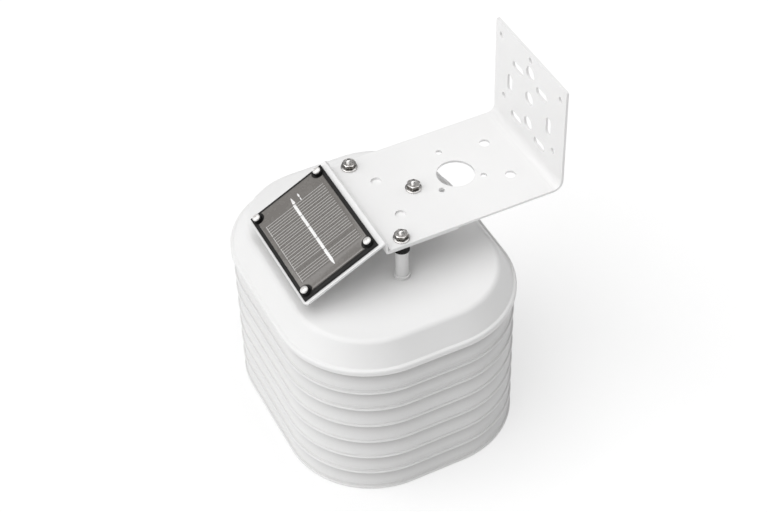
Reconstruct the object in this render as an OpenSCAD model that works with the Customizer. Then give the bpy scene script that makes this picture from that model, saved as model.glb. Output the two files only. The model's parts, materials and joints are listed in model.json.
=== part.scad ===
// Fan-aspirated, solar-powered radiation shield for a weather station, hung from a pole bracket.
// Millimetres, +Z up. The origin is on the back face of the bracket's wall, at the centre of its
// four horizontal U-bolt slots. +Y points out of that face at the pole, and the panel faces -Y.

/* [Pole bracket] */
// Width of the bracket, side to side
bracket_w = 104; // [100:1:108]
// Thickness of the bracket's sheet metal
sheet_t = 2; // [1.6:0.1:2.2]
// Height of the wall above the top of the shelf
wall_h = 92; // [90:1:100]
// Length of the shelf, from the wall's back face to its free end
shelf_l = 146.6; // [145:0.2:147]
// Inside radius of the bend between shelf and wall
bend_r = 6.5; // [3:0.5:8]
// Width of a U-bolt slot
slot_w = 7; // [6:0.5:7.5]
// Length of a U-bolt slot, end to end
slot_l = 16; // [12:0.5:17]
// Distance between the columns of horizontal slots
slot_dx = 35.4; // [34:0.2:37]
// Distance between the rows of horizontal slots
slot_dz = 48.6; // [47:0.2:50]

/* [Shield] */
// Width of the cap, side to side
cap_w = 226; // [220:1:230]
// Depth of the cap, front to back
cap_d = 192; // [188:1:196]
// Corner radius of the cap, seen from above
cap_r = 73.5; // [70:0.5:78]
// Distance from the wall's back face to the shield's centre
shield_reach = 138.1; // [137:0.1:139]
// Height of the cap, from its flat top to its rim
cap_h = 23.7; // [23:0.1:25]
// Distance from the cap's rim down to the first louvre's rim
first_pitch = 22.5; // [22:0.1:24]
// Distance from one louvre's rim to the next
louvre_pitch = 18.5; // [18:0.1:20]

/* [Solar panel] */
// Angle of the panel below the horizontal
panel_tilt = 26.8; // [25:0.2:28]
// Width of the panel's backing board
panel_w = 98; // [96:0.5:99]
// Length of the panel's backing board, down the slope
panel_l = 68; // [66:0.5:69]

/* [Fan] */
// Number of fan blades
blade_count = 5; // [3:1:7]
// Radius of the fan, to the blade tips
fan_r = 26; // [24:0.5:26]

/* [Hidden] */
$fn = 48;
cut = 1;                 // how far a cutting solid runs past the face it cuts
lap = 1;                 // how far two lengths of one solid run into each other
skin = 0.05;             // smallest gap left between a screw and its hole

// Bracket
lower_slot_up = 17.2;                         // lower row of slots above the shelf
shelf_z = -slot_dz/2 - lower_slot_up;         // top of the shelf
plate_corner_r = 2.5;                         // rounding of sheet corners
wall_hole_r = 5.7;
wall_hole_dz = 24.25;                         // pitch of the column of three round holes
wall_hole_z = shelf_z + 49.5;                 // height of the middle one
side_slot_dx = 58.4;
side_slot_z = shelf_z + 43.7;
pilot_r = 2.5;                                // small screw holes
upper_pilot_dx = 88;
upper_pilot_z = shelf_z + 80.2;
lower_pilot_dx = 74.8;
lower_pilot_z = shelf_z + 26;
top_pilot_z = shelf_z + 86;
bolt_hole_r = 4.2;
bolt_hole_dx = 41.2;
bolt_hole_y = -28;                            // pair near the wall
front_hole_y = -122.3;                        // pair over the panel bracket's flange
main_hole_r = 14.9;
main_hole_y = -64.6;
main_pilot_x = 11.8;                          // two pilots beside the main hole
main_pilot_dy = 36.2;
far_pilot_x = -27.5;                          // and one on its other side

// Hanging hardware, at three points given from the shield's centre
stud_points = [[-44.4, 4.4], [44.4, 4.4], [0, 37.3]];
stud_r = 2.4;
stud_hole_r = 2.6;
stud_above = 7.8;                             // stud end above the shelf
nut_af = 9.5;
nut_h = 4;
washer_r = 6.5;
washer_t = 1.2;
rubber_r = 6.2;
rubber_t = 7;
standoff_r = 5.1;
bead_r = 6.3;
spacer_r = 4.6;

// Shield levels
shield_y = -shield_reach;
flange_z = shelf_z - sheet_t;                 // top of the panel bracket's flange
cap_drop = 38.3;                              // flat top of the cap below the shelf
cap_z = shelf_z - cap_drop;
cap_rim_z = cap_z - cap_h;
cap_t = 2.2;
louvre_t = 1.8;
louvre_h = 21;                                // rim to deck top
louvre_w = cap_w - 3;
louvre_d = cap_d - 3;
louvre_r = cap_r - 1.5;
louvre_count = 7;
function rim_z(i) = cap_rim_z - first_pitch - (i - 1)*louvre_pitch;
function deck_z(i) = rim_z(i) + louvre_h;     // top of louvre i's deck
base_z = deck_z(louvre_count);                // top of the lowest deck
under_z = base_z - louvre_t;                  // its underside

// Air duct and fan, on the shield's centre line
duct_r = 29;
duct_bore_r = 27;
duct_top_z = deck_z(1) + 6;
deck_hole_r = 30.5;
flange_r = 31.5;
under_ring_r = 30;                            // rings below the lowest deck, clear of the bottom washers
flange_t = 3;
ear_r = 5;
ear_at = 33.5;                                // radius of the ears' screws
ear_angles = [30, 150, 270];
screw_r = 1.5;
screw_hole_r = screw_r + skin;
motor_r = 12;
motor_h = 25;
motor_floor_z = under_z - 1;                  // underside of the motor
motor_cup_t = 2;                              // floor of the cup that holds it
motor_boss_h = 2;                             // bearing boss on its top
shaft_above = 13;                             // shaft end above the motor
shaft_r = 1;
shaft_fit = 0.05;                             // running clearance in the motor's bearing
bearing_l = 11;                               // length of shaft inside the motor
shaft_top_z = motor_floor_z + motor_h + shaft_above;
hub_r = 6.5;
hub_h = 9;
hub_z = shaft_top_z - hub_h;
blade_pitch = 35;
guard_t = 2;
guard_z = motor_floor_z - motor_cup_t - guard_t;
guard_bar = 2;                                // width of the guard's rings and spokes
guard_rings = [8, 14, 20.5];
spoke_count = 6;
sleeve_r = 16.5;
sleeve_t = 1.5;
sleeve_top_z = deck_z(2);
sleeve_h = 50;
board = [12, 1.6, 30];
board_top_z = sleeve_top_z + 6;
probe_r = 5;
probe_h = 22;

// Panel bracket: flange under the shelf, riser at the shelf's end, ridge, then the slope
tray_w = 103;
tray_l = 76.4;                                // slope, from the ridge line
tray_bend_r = 0.9;                            // inside radius of its bends
riser_y = -shelf_l - 1.5;                     // back face of the riser
flange_back_y = -87.7;
ridge_up = 9.3;
ridge = [-148.8, shelf_z + ridge_up];         // where the slope's face would meet the riser, in Y and Z
ridge_straight = 2.5;                         // end of the ridge's bend, down the slope
tab_l = 5;                                    // length of the flange's round-cornered end
tray_corner_r = 3.5;                          // corners at the foot of the slope
ridge_arc_y = riser_y - sheet_t - tray_bend_r;
ridge_arc_z = ridge[1] + (ridge_arc_y - ridge[0])*tan(panel_tilt) - (tray_bend_r + sheet_t)/cos(panel_tilt);

// Solar panel, measured down the slope from the ridge
panel_at = 6.5;                               // top edge of the board
board_t = 2.4;
laminate = [92.6, 62, 1.5];
notch_r = 5.4;                                // clearance cut round each corner screw
panel_screw_dx = 87;
panel_screw_dl = 58.4;
panel_mid = panel_at + panel_l/2;
small_nut_af = 5.5;
small_nut_h = 2.4;
head_r = 3.1;
head_h = 2.2;
small_spacer_r = 3.8;
small_spacer_h = 2.6;
cell_count = 5;
cell_pitch = 13.5;
cell = [13, 56, 0.4];
cells_x = 2.4;                                // the row of cells sits off centre
ribbon = [12.4, 2.2, 0.2];
lead_hole_r = 3.5;
panel_lead = [24, 40];                        // lead hole in the slope: X, and distance from the ridge
cap_lead = [-6, 18];                          // lead hole in the cap, from the shield's centre
gland_at = [0, -48];
gland_r = 6;                                  // threaded neck through the lowest deck

paint = [0.93, 0.93, 0.92];
shell_white = [0.95, 0.95, 0.95];
steel = [0.72, 0.72, 0.70];
black = [0.06, 0.06, 0.06];

// ---------------------------------------------------------------- shared shapes

// Points along an arc about c, from angle a0 to angle a1
function arc(c, r, a0, a1, n = 6) =
    [for (k = [0:n]) c + r*[cos(a0 + (a1 - a0)*k/n), sin(a0 + (a1 - a0)*k/n)]];

// A hole or slot outline, l long end to end
module slot_2d(l, w) {
    square([l - w, w], center = true);
    for (side = [-1, 1])
        translate([side*(l - w)/2, 0]) circle(w/2);
}

// A sheet outline from y = 0 to y = l, with the two corners at y = l rounded
module tab_2d(w, l, r) {
    translate([-w/2, 0]) square([w, l - r]);
    translate([r - w/2, 0]) square([w - 2*r, l]);
    for (side = [-1, 1])
        translate([side*(w/2 - r), l - r]) circle(r);
}

// The side view of a sheet bend about the origin, from angle a0 to angle a1
module bend_2d(r, a0, a1) {
    reach = 4*(r + sheet_t);
    intersection() {
        difference() {
            circle(r + sheet_t);
            circle(r);
        }
        polygon([[0, 0], for (k = [0:2]) reach*[cos(a0 + (a1 - a0)*k/2), sin(a0 + (a1 - a0)*k/2)]]);
    }
}

// Carries a side view (Y across, Z up) through a width w along X
module across(w) {
    rotate([90, 0, 90]) linear_extrude(w, center = true) children();
}

// Stands a front view (X across, Z up) in the wall, cutting right through it
module through_wall() {
    translate([0, cut, 0]) rotate([90, 0, 0]) linear_extrude(sheet_t + 2*cut) children();
}

// Puts children at the shield's centre line
module at_shield(z = 0) {
    translate([0, shield_y, z]) children();
}

// Puts a copy of children at each hanging stud
module at_studs(z = 0) {
    for (p = stud_points)
        translate([p[0], shield_y + p[1], z]) children();
}

// Puts children on the slope: X across, -Y down the slope, Z out of its top face
module on_slope() {
    translate([0, ridge[0], ridge[1]]) rotate([panel_tilt, 0, 0]) children();
}

// Puts a copy of children at each corner screw of the panel
module at_panel_screws() {
    on_slope()
        for (side = [-1, 1], end = [-1, 1])
            translate([side*panel_screw_dx/2, end*panel_screw_dl/2 - panel_mid, 0]) children();
}

// Puts a copy of children at each screw of the air guard
module at_ears(z = 0) {
    at_shield(z)
        for (a = ear_angles)
            rotate(a) translate([ear_at, 0, 0]) children();
}

module tube(r, bore, h) {
    difference() {
        cylinder(r = r, h = h);
        translate([0, 0, -cut]) cylinder(r = bore, h = h + 2*cut);
    }
}

module hex_nut(af, bore, h) {
    difference() {
        cylinder(r = af/2/cos(30), h = h, $fn = 6);
        translate([0, 0, -cut]) cylinder(r = bore, h = h + 2*cut, $fn = 32);
    }
}

// Carries a half profile round a rounded rectangle. The profile's X is measured outwards from the
// corner centres, so a profile that starts at X = 0 leaves only the middle rectangle open.
module round_plan(w, d, r) {
    for (k = [0:3])
        translate([(k == 0 || k == 3 ? 1 : -1)*(w/2 - r), (k < 2 ? 1 : -1)*(d/2 - r), 0])
            rotate(90*k) rotate_extrude(angle = 90) children();
    for (turn = [0, 180]) {
        rotate(turn) translate([w/2 - r, 0, 0])
            rotate([90, 0, 0]) linear_extrude(d - 2*r, center = true) children();
        rotate(turn + 90) translate([d/2 - r, 0, 0])
            rotate([90, 0, 0]) linear_extrude(w - 2*r, center = true) children();
    }
}

// ---------------------------------------------------------------- pole bracket

module wall_holes_2d() {
    for (x = [-1, 1]*slot_dx/2, z = [-1, 1]*slot_dz/2)
        translate([x, z]) slot_2d(slot_l, slot_w);
    for (x = [-1, 1]*side_slot_dx/2)
        translate([x, side_slot_z]) rotate(90) slot_2d(slot_l, slot_w);
    for (k = [-1:1])
        translate([0, wall_hole_z + k*wall_hole_dz]) circle(wall_hole_r);
    for (side = [-1, 1]) {
        translate([side*upper_pilot_dx/2, upper_pilot_z]) circle(pilot_r);
        translate([side*lower_pilot_dx/2, lower_pilot_z]) circle(pilot_r);
    }
    translate([0, top_pilot_z]) circle(pilot_r);
}

module shelf_holes_2d() {
    translate([0, main_hole_y]) circle(main_hole_r, $fn = 72);
    for (side = [-1, 1]) {
        translate([side*bolt_hole_dx/2, bolt_hole_y]) circle(bolt_hole_r);
        translate([side*bolt_hole_dx/2, front_hole_y]) circle(bolt_hole_r);
        translate([main_pilot_x, main_hole_y + side*main_pilot_dy/2]) circle(pilot_r);
    }
    translate([far_pilot_x, main_hole_y]) circle(pilot_r);
    for (p = stud_points)
        translate([p[0], shield_y + p[1]]) circle(stud_hole_r);
}

module mounting_bracket() {
    bend = bend_r + sheet_t;
    color(paint) difference() {
        union() {
            translate([0, -bend, shelf_z - sheet_t])
                rotate(180) linear_extrude(sheet_t) tab_2d(bracket_w, shelf_l - bend, plate_corner_r);
            translate([0, 0, shelf_z + bend_r])
                rotate([90, 0, 0]) linear_extrude(sheet_t) tab_2d(bracket_w, wall_h - bend_r, plate_corner_r);
            across(bracket_w)
                translate([-bend, shelf_z + bend_r]) bend_2d(bend_r, -90, 0);
        }
        through_wall() wall_holes_2d();
        translate([0, 0, shelf_z - sheet_t - cut]) linear_extrude(sheet_t + 2*cut) shelf_holes_2d();
    }
}

// ---------------------------------------------------------------- panel bracket

module tray_side_2d() {
    outer = tray_bend_r + sheet_t;
    flange_y = riser_y + tray_bend_r;
    translate([flange_y, flange_z - sheet_t]) square([flange_back_y - tab_l + lap - flange_y, sheet_t]);
    translate([flange_y, flange_z + tray_bend_r]) bend_2d(tray_bend_r, 180, 270);
    translate([riser_y - sheet_t, flange_z + tray_bend_r])
        square([sheet_t, ridge_arc_z - flange_z - tray_bend_r]);
    translate([ridge_arc_y, ridge_arc_z]) bend_2d(tray_bend_r, 0, 90 + panel_tilt);
    translate([ridge_arc_y, ridge_arc_z]) rotate(panel_tilt)
        translate([-ridge_straight - lap, tray_bend_r]) square([ridge_straight + lap, sheet_t]);
}

module solar_bracket() {
    color(paint) difference() {
        union() {
            across(tray_w) tray_side_2d();
            translate([0, flange_back_y - tab_l, flange_z - sheet_t])
                linear_extrude(sheet_t) tab_2d(tray_w, tab_l, plate_corner_r);
            on_slope() translate([0, -ridge_straight, -sheet_t]) rotate(180)
                linear_extrude(sheet_t) tab_2d(tray_w, tray_l - ridge_straight, tray_corner_r);
        }
        at_studs(flange_z - sheet_t - cut) cylinder(r = stud_hole_r, h = sheet_t + 2*cut);
        at_panel_screws() translate([0, 0, -sheet_t - cut]) cylinder(r = screw_hole_r, h = sheet_t + 2*cut);
        on_slope() translate([panel_lead[0], -panel_lead[1], -sheet_t - cut])
            cylinder(r = lead_hole_r, h = sheet_t + 2*cut);
    }
}

module panel_backing() {
    color(black) difference() {
        on_slope() translate([-panel_w/2, -panel_at - panel_l, 0]) cube([panel_w, panel_l, board_t]);
        at_panel_screws() translate([0, 0, -cut]) cylinder(r = screw_hole_r, h = board_t + 2*cut);
    }
}

// Puts children at the middle of cell k, at the given depth below the laminate's face
module at_cell(k, depth) {
    x = cells_x + (k - (cell_count - 1)/2)*cell_pitch;
    on_slope() translate([x, -panel_mid, board_t + laminate[2] - depth]) children();
}

module panel_laminate() {
    color([0.50, 0.48, 0.46]) difference() {
        on_slope() translate([-laminate[0]/2, -panel_mid - laminate[1]/2, board_t]) cube(laminate);
        at_panel_screws() translate([0, 0, board_t - cut]) cylinder(r = notch_r, h = laminate[2] + 2*cut);
        for (k = [0:cell_count - 1])
            at_cell(k, 0) cube([cell[0], cell[1], 2*cell[2]], center = true);
    }
}

module solar_cells() {
    color([0.45, 0.44, 0.43])
        for (k = [0:cell_count - 1])
            at_cell(k, cell[2]) translate([-cell[0]/2, -cell[1]/2, 0]) cube(cell);
}

module busbar_ribbons() {
    color("white")
        for (k = [0:cell_count - 1])
            at_cell(k, 0) translate([-ribbon[0]/2, -ribbon[1]/2, 0]) cube(ribbon);
}

module panel_spacers() {
    color(black) at_panel_screws() translate([0, 0, board_t])
        tube(small_spacer_r, screw_hole_r, small_spacer_h);
}

module panel_screws() {
    head_z = board_t + small_spacer_h;
    below = sheet_t + small_nut_h + 2.6;      // screw tip below the top face of the slope
    head_taper = 0.6;
    recess = [3.2, 0.8, 1];
    recess_turn = 20;
    color(steel) at_panel_screws() difference() {
        union() {
            translate([0, 0, head_z]) cylinder(r1 = head_r, r2 = head_r - head_taper, h = head_h);
            translate([0, 0, -below]) cylinder(r = screw_r, h = head_z + below);
        }
        for (turn = [0, 90])
            translate([0, 0, head_z + head_h]) rotate(turn + recess_turn)
                cube([recess[0], recess[1], 2*recess[2]], center = true);
    }
}

module panel_nuts() {
    color(steel) at_panel_screws() translate([0, 0, -sheet_t - small_nut_h])
        hex_nut(small_nut_af, screw_hole_r, small_nut_h);
}

// ---------------------------------------------------------------- hanging hardware

module hanger_studs() {
    stud_below = 3;                           // stud end below the bottom nut
    bottom = under_z - washer_t - nut_h - stud_below;
    length = shelf_z + stud_above - bottom;
    chamfer = 0.9;
    color(steel) at_studs(bottom) rotate_extrude()
        polygon([[0, 0], [stud_r - chamfer, 0], [stud_r, chamfer], [stud_r, length - chamfer],
            [stud_r - chamfer, length], [0, length]]);
}

module top_nuts() {
    color(steel) at_studs(shelf_z + washer_t) hex_nut(nut_af, stud_r + skin, nut_h);
}

module top_washers() {
    color(steel) at_studs(shelf_z) tube(washer_r, stud_hole_r, washer_t);
}

module rubber_bushes() {
    color(black) at_studs(flange_z - sheet_t - rubber_t) tube(rubber_r, stud_hole_r, rubber_t);
}

module standoffs() {
    top = flange_z - sheet_t - rubber_t;
    bead_h = 2.4;
    color(shell_white) at_studs(cap_z) union() {
        tube(standoff_r, stud_hole_r, top - cap_z);
        tube(bead_r, stud_hole_r, bead_h);
    }
}

module bottom_washers() {
    color(steel) at_studs(under_z - washer_t) tube(washer_r, stud_hole_r, washer_t);
}

module bottom_nuts() {
    color(steel) at_studs(under_z - washer_t - nut_h) hex_nut(nut_af, stud_r + skin, nut_h);
}

// ---------------------------------------------------------------- shield

// Side view of the cap's shell: flat top, a steep shoulder, then a rolled rim
module cap_profile_2d() {
    steep = 60;                               // shoulder's angle below the horizontal
    round_r = 6;                              // where the flat top turns into the shoulder
    ledge = 2.5;                              // width of the rim's roll
    ledge_z = -19;
    run = (-ledge_z - round_r*(1 - cos(steep)))/tan(steep);
    c = [cap_r - ledge - run - round_r*sin(steep), -round_r];
    foot = [cap_r - 2.4, -cap_h];             // inside edge of the rim
    polygon(concat(
        [[0, 0]],
        arc(c, round_r, 90, 90 - steep),
        [[cap_r - ledge - 0.5, ledge_z + 0.7]],
        arc([cap_r - 2, ledge_z - 1.9], 2, 85, 0, 5),
        [[cap_r, 0.5 - cap_h], [cap_r - 0.5, -cap_h], foot],
        arc(c, round_r - cap_t, 90 - steep, 90),
        [[0, -cap_t]]));
}

module cap() {
    color(shell_white) difference() {
        at_shield(cap_z) union() {
            round_plan(cap_w, cap_d, cap_r) cap_profile_2d();
            translate([cap_r - cap_w/2, cap_r - cap_d/2, -cap_t])
                cube([cap_w - 2*cap_r, cap_d - 2*cap_r, cap_t]);
        }
        at_studs(cap_z - cap_t - cut) cylinder(r = stud_hole_r, h = cap_t + 2*cut);
        at_shield(cap_z - cap_t - cut) translate(cap_lead) cylinder(r = lead_hole_r, h = cap_t + 2*cut);
    }
}

// Side view of one louvre: a deck, a shoulder, a leaning skirt and a bevelled lip at its rim.
// A ridged louvre has a second fine bead above the lip.
module louvre_profile_2d(ridged) {
    lean = 10;                                // skirt's angle from the vertical
    round_r = 6;
    lip = 1.5;                                // how far the lip stands out of the skirt
    lip_h = 2.2;
    groove_h = 0.7;
    bead = [0.45, 3.4, 1.4];                  // how far out, how high up, and its height
    skirt_z = louvre_h - round_r*(1 - sin(lean));
    function skirt_x(z) = louvre_r - lip - (z - lip_h - groove_h)*tan(lean);
    c = [skirt_x(skirt_z) - round_r*cos(lean), louvre_h - round_r];
    inner_x = skirt_x(0) - louvre_t/cos(lean);
    bead_points = !ridged ? [] : [
        [skirt_x(bead[1] + bead[2]), bead[1] + bead[2]],
        [skirt_x(bead[1]) + bead[0], bead[1] + bead[2]/2],
        [skirt_x(bead[1]), bead[1]]];
    polygon(concat(
        [[0, louvre_h]],
        arc(c, round_r, 90, lean),
        bead_points,
        [[skirt_x(lip_h + groove_h), lip_h + groove_h], [louvre_r - lip, lip_h],
            [louvre_r - lip + 0.4, lip_h - 0.1], [louvre_r - 0.2, 1.1], [louvre_r, 0.8],
            [louvre_r, 0.3], [louvre_r - 0.3, 0], [inner_x, 0]],
        arc(c, round_r - louvre_t, lean, 90),
        [[0, louvre_h - louvre_t]]));
}

module louvre(i) {
    ridged = i <= 2 || i >= 6;
    hole_r = i == louvre_count ? duct_bore_r : deck_hole_r;
    color(shell_white) difference() {
        at_shield(rim_z(i)) union() {
            round_plan(louvre_w, louvre_d, louvre_r) louvre_profile_2d(ridged);
            translate([louvre_r - louvre_w/2, louvre_r - louvre_d/2, louvre_h - louvre_t])
                cube([louvre_w - 2*louvre_r, louvre_d - 2*louvre_r, louvre_t]);
        }
        at_shield(deck_z(i) - louvre_t - cut) cylinder(r = hole_r, h = louvre_t + 2*cut);
        at_studs(deck_z(i) - louvre_t - cut) cylinder(r = stud_hole_r, h = louvre_t + 2*cut);
        if (i == louvre_count) {
            at_ears(under_z - cut) cylinder(r = screw_hole_r, h = louvre_t + 2*cut);
            at_shield(under_z - cut) translate(gland_at) cylinder(r = gland_r, h = louvre_t + 2*cut);
        }
    }
}

module louvre_spacers() {
    color(shell_white) {
        at_studs(deck_z(1)) tube(spacer_r, stud_hole_r, cap_z - cap_t - deck_z(1));
        for (i = [2:louvre_count])
            at_studs(deck_z(i)) tube(spacer_r, stud_hole_r, louvre_pitch - louvre_t);
    }
}

// ---------------------------------------------------------------- air duct and sensor

module aspiration_duct() {
    color(shell_white) difference() {
        union() {
            at_shield(base_z) cylinder(r = duct_r, h = duct_top_z - base_z);
            at_shield(base_z) cylinder(r = flange_r, h = flange_t);
            at_ears(base_z) cylinder(r = ear_r, h = flange_t);
        }
        at_shield(base_z - cut) cylinder(r = duct_bore_r, h = duct_top_z - base_z + 2*cut);
        at_ears(base_z - cut) cylinder(r = screw_hole_r, h = flange_t + 2*cut);
    }
}

module radiation_hood() {
    edge_z = 5;                               // underside of the hood's edge above the duct
    rise = 4;                                 // its flat middle above that edge
    slope_w = 8;                              // width of the sloping edge
    hood_t = 1.8;
    post_r = 0.9;
    post_at = (duct_r + duct_bore_r)/2;
    post_h = edge_z + rise*(flange_r - post_at)/slope_w + hood_t/2;
    color(shell_white) at_shield(duct_top_z) union() {
        for (a = ear_angles)
            rotate(a) translate([post_at, 0, 0]) cylinder(r = post_r, h = post_h);
        translate([0, 0, edge_z]) rotate_extrude()
            polygon([[0, rise], [flange_r - slope_w, rise], [flange_r, 0], [flange_r, hood_t],
                [flange_r - slope_w, rise + hood_t], [0, rise + hood_t]]);
    }
}

module inner_sleeve() {
    rib = [duct_bore_r + 2, 1.4, 8];
    rib_in = 6;                               // ribs' distance from the sleeve's ends
    color(shell_white) at_shield(sleeve_top_z - sleeve_h) union() {
        tube(sleeve_r, sleeve_r - sleeve_t, sleeve_h);
        for (z = [rib_in, sleeve_h - rib_in - rib[2]])
            translate([0, 0, z]) intersection() {
                for (a = ear_angles)
                    rotate(a) translate([sleeve_r - sleeve_t/2, -rib[1]/2, 0])
                        cube([rib[0] - sleeve_r, rib[1], rib[2]]);
                cylinder(r = duct_bore_r, h = rib[2]);
            }
    }
}

module sensor_holder() {
    bar = [2*sleeve_r, 7, 2.5];
    color([0.2, 0.2, 0.2]) difference() {
        at_shield(sleeve_top_z + bar[2]/2) cube(bar, center = true);
        at_shield(sleeve_top_z + bar[2]/2) cube([board[0], board[1], bar[2] + 2*cut], center = true);
    }
}

module sensor_board() {
    color([0.1, 0.35, 0.2]) at_shield(board_top_z - board[2])
        translate([-board[0]/2, -board[1]/2, 0]) cube(board);
}

module sensor_probe() {
    round_r = 1.5;
    color([0.85, 0.85, 0.85]) at_shield(board_top_z - board[2] - probe_h) rotate_extrude()
        polygon(concat([[0, 0]], arc([probe_r - round_r, round_r], round_r, -90, 0),
            [[probe_r, probe_h], [0, probe_h]]));
}

// ---------------------------------------------------------------- fan

module motor_mount() {
    cup_wall = 1.6;
    cup_h = 10;
    ring_t = 3;
    arm_w = 5;
    color([0.2, 0.2, 0.2]) difference() {
        union() {
            at_shield(under_z - ring_t) tube(under_ring_r, duct_bore_r, ring_t);
            at_ears(under_z - ring_t) cylinder(r = ear_r, h = ring_t);
            at_shield(motor_floor_z - motor_cup_t) cylinder(r = motor_r + cup_wall, h = cup_h);
            at_shield(under_z - ring_t)
                for (a = ear_angles)
                    rotate(a) translate([motor_r, -arm_w/2, 0])
                        cube([duct_bore_r - motor_r + lap, arm_w, ring_t]);
        }
        at_shield(motor_floor_z) cylinder(r = motor_r, h = cup_h);
        at_ears(under_z - ring_t - cut) cylinder(r = screw_hole_r, h = ring_t + 2*cut);
    }
}

module fan_motor() {
    boss_r = 3;
    top = motor_h + motor_boss_h;
    depth = bearing_l + 1;
    color([0.6, 0.6, 0.62]) at_shield(motor_floor_z) difference() {
        union() {
            cylinder(r = motor_r, h = motor_h);
            cylinder(r = boss_r, h = top);
        }
        translate([0, 0, top - depth]) cylinder(r = shaft_r + shaft_fit, h = depth + cut);
    }
}

module fan_shaft() {
    bottom = motor_floor_z + motor_h + motor_boss_h - bearing_l;
    color(steel) at_shield(bottom) cylinder(r = shaft_r, h = shaft_top_z - bottom);
}

module fan_impeller() {
    blade = [fan_r + 2, 1.4, 11];
    color([0.15, 0.15, 0.16]) at_shield(hub_z) difference() {
        union() {
            cylinder(r = hub_r, h = hub_h);
            intersection() {
                for (k = [0:blade_count - 1])
                    rotate(360*k/blade_count) translate([hub_r - lap, 0, hub_h/2])
                        rotate([90 - blade_pitch, 0, 0])
                            translate([0, -blade[1]/2, -blade[2]/2]) cube(blade);
                cylinder(r = fan_r, h = hub_h);
            }
        }
        translate([0, 0, -cut]) cylinder(r = shaft_r, h = hub_h + 2*cut);
    }
}

module ring_2d(r, bore) {
    difference() {
        circle(r);
        circle(bore);
    }
}

module air_guard_2d() {
    ring_2d(under_ring_r, duct_bore_r);
    for (a = ear_angles)
        rotate(a) translate([ear_at, 0]) circle(ear_r);
    for (r = guard_rings)
        ring_2d(r + guard_bar/2, r - guard_bar/2);
    for (k = [0:spoke_count - 1])
        rotate(360*k/spoke_count) translate([guard_rings[0], -guard_bar/2])
            square([duct_bore_r + lap - guard_rings[0], guard_bar]);
}

module air_guard() {
    color([0.15, 0.15, 0.16]) difference() {
        at_shield(guard_z) linear_extrude(guard_t) air_guard_2d();
        at_ears(guard_z - cut) cylinder(r = screw_hole_r, h = guard_t + 2*cut);
    }
}

module guard_screws() {
    round_head_r = 2.8;
    round_head_h = 2;
    color(steel) at_ears(guard_z - round_head_h) union() {
        cylinder(r = round_head_r, h = round_head_h);
        cylinder(r = screw_r, h = base_z + flange_t - guard_z + round_head_h);
    }
}

// ---------------------------------------------------------------- lead entries

// A grommet in a plate whose top face is at z = 0. One under a board has no upper lip.
module grommet(plate_t, upper_lip) {
    lip_r = lead_hole_r + 1.5;
    lip_t = 1;
    bore = 1.8;
    rotate_extrude() {
        polygon([[bore, -plate_t - lip_t], [lip_r, -plate_t - lip_t], [lip_r, -plate_t],
            [lead_hole_r, -plate_t], [lead_hole_r, 0], [bore, 0]]);
        if (upper_lip)
            translate([bore, 0]) square([lip_r - bore, lip_t]);
    }
}

module lead_grommets() {
    color(black) {
        at_shield(cap_z) translate(cap_lead) grommet(cap_t, true);
        on_slope() translate([panel_lead[0], -panel_lead[1], 0]) grommet(sheet_t, false);
    }
}

module cable_gland() {
    bore = 2.6;
    seat = [8, 6];                            // radius and height of each step
    dome = [6.5, 8];
    lock_nut = [8, 3];
    neck_above = 4;
    color(black) at_shield() translate([gland_at[0], gland_at[1], 0]) union() {
        translate([0, 0, under_z - seat[1] - dome[1]]) tube(dome[0], bore, dome[1]);
        translate([0, 0, under_z - seat[1]]) tube(seat[0], bore, seat[1]);
        translate([0, 0, under_z]) tube(gland_r, bore, louvre_t + neck_above);
        translate([0, 0, base_z]) tube(lock_nut[0], bore, lock_nut[1]);
    }
}

mounting_bracket();
solar_bracket();
panel_backing();
panel_laminate();
solar_cells();
busbar_ribbons();
panel_spacers();
panel_screws();
panel_nuts();
hanger_studs();
top_nuts();
top_washers();
rubber_bushes();
standoffs();
cap();
louvre(1);  // louvre_1
louvre(2);  // louvre_2
louvre(3);  // louvre_3
louvre(4);  // louvre_4
louvre(5);  // louvre_5
louvre(6);  // louvre_6
louvre(7);  // louvre_7
louvre_spacers();
bottom_washers();
bottom_nuts();
aspiration_duct();
radiation_hood();
inner_sleeve();
sensor_holder();
sensor_board();
sensor_probe();
motor_mount();
fan_motor();
fan_shaft();
fan_impeller();
air_guard();
guard_screws();
lead_grommets();
cable_gland();
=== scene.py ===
"""Looks of a fan-aspirated radiation shield that hangs from a pole bracket under a small solar panel.

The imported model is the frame: its nodes keep their places and get their materials here. The studs,
nuts and washers, the printed silver and solder on the cells, the panel's resin and screws, the cap
and the louvres, and the fan are built here in more detail than the frame holds. Lengths in this file
are in millimetres up to the point where a mesh is made, in metres.
"""

import json
import math

import bmesh
import bpy
from mathutils import Matrix, Vector, noise


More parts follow.
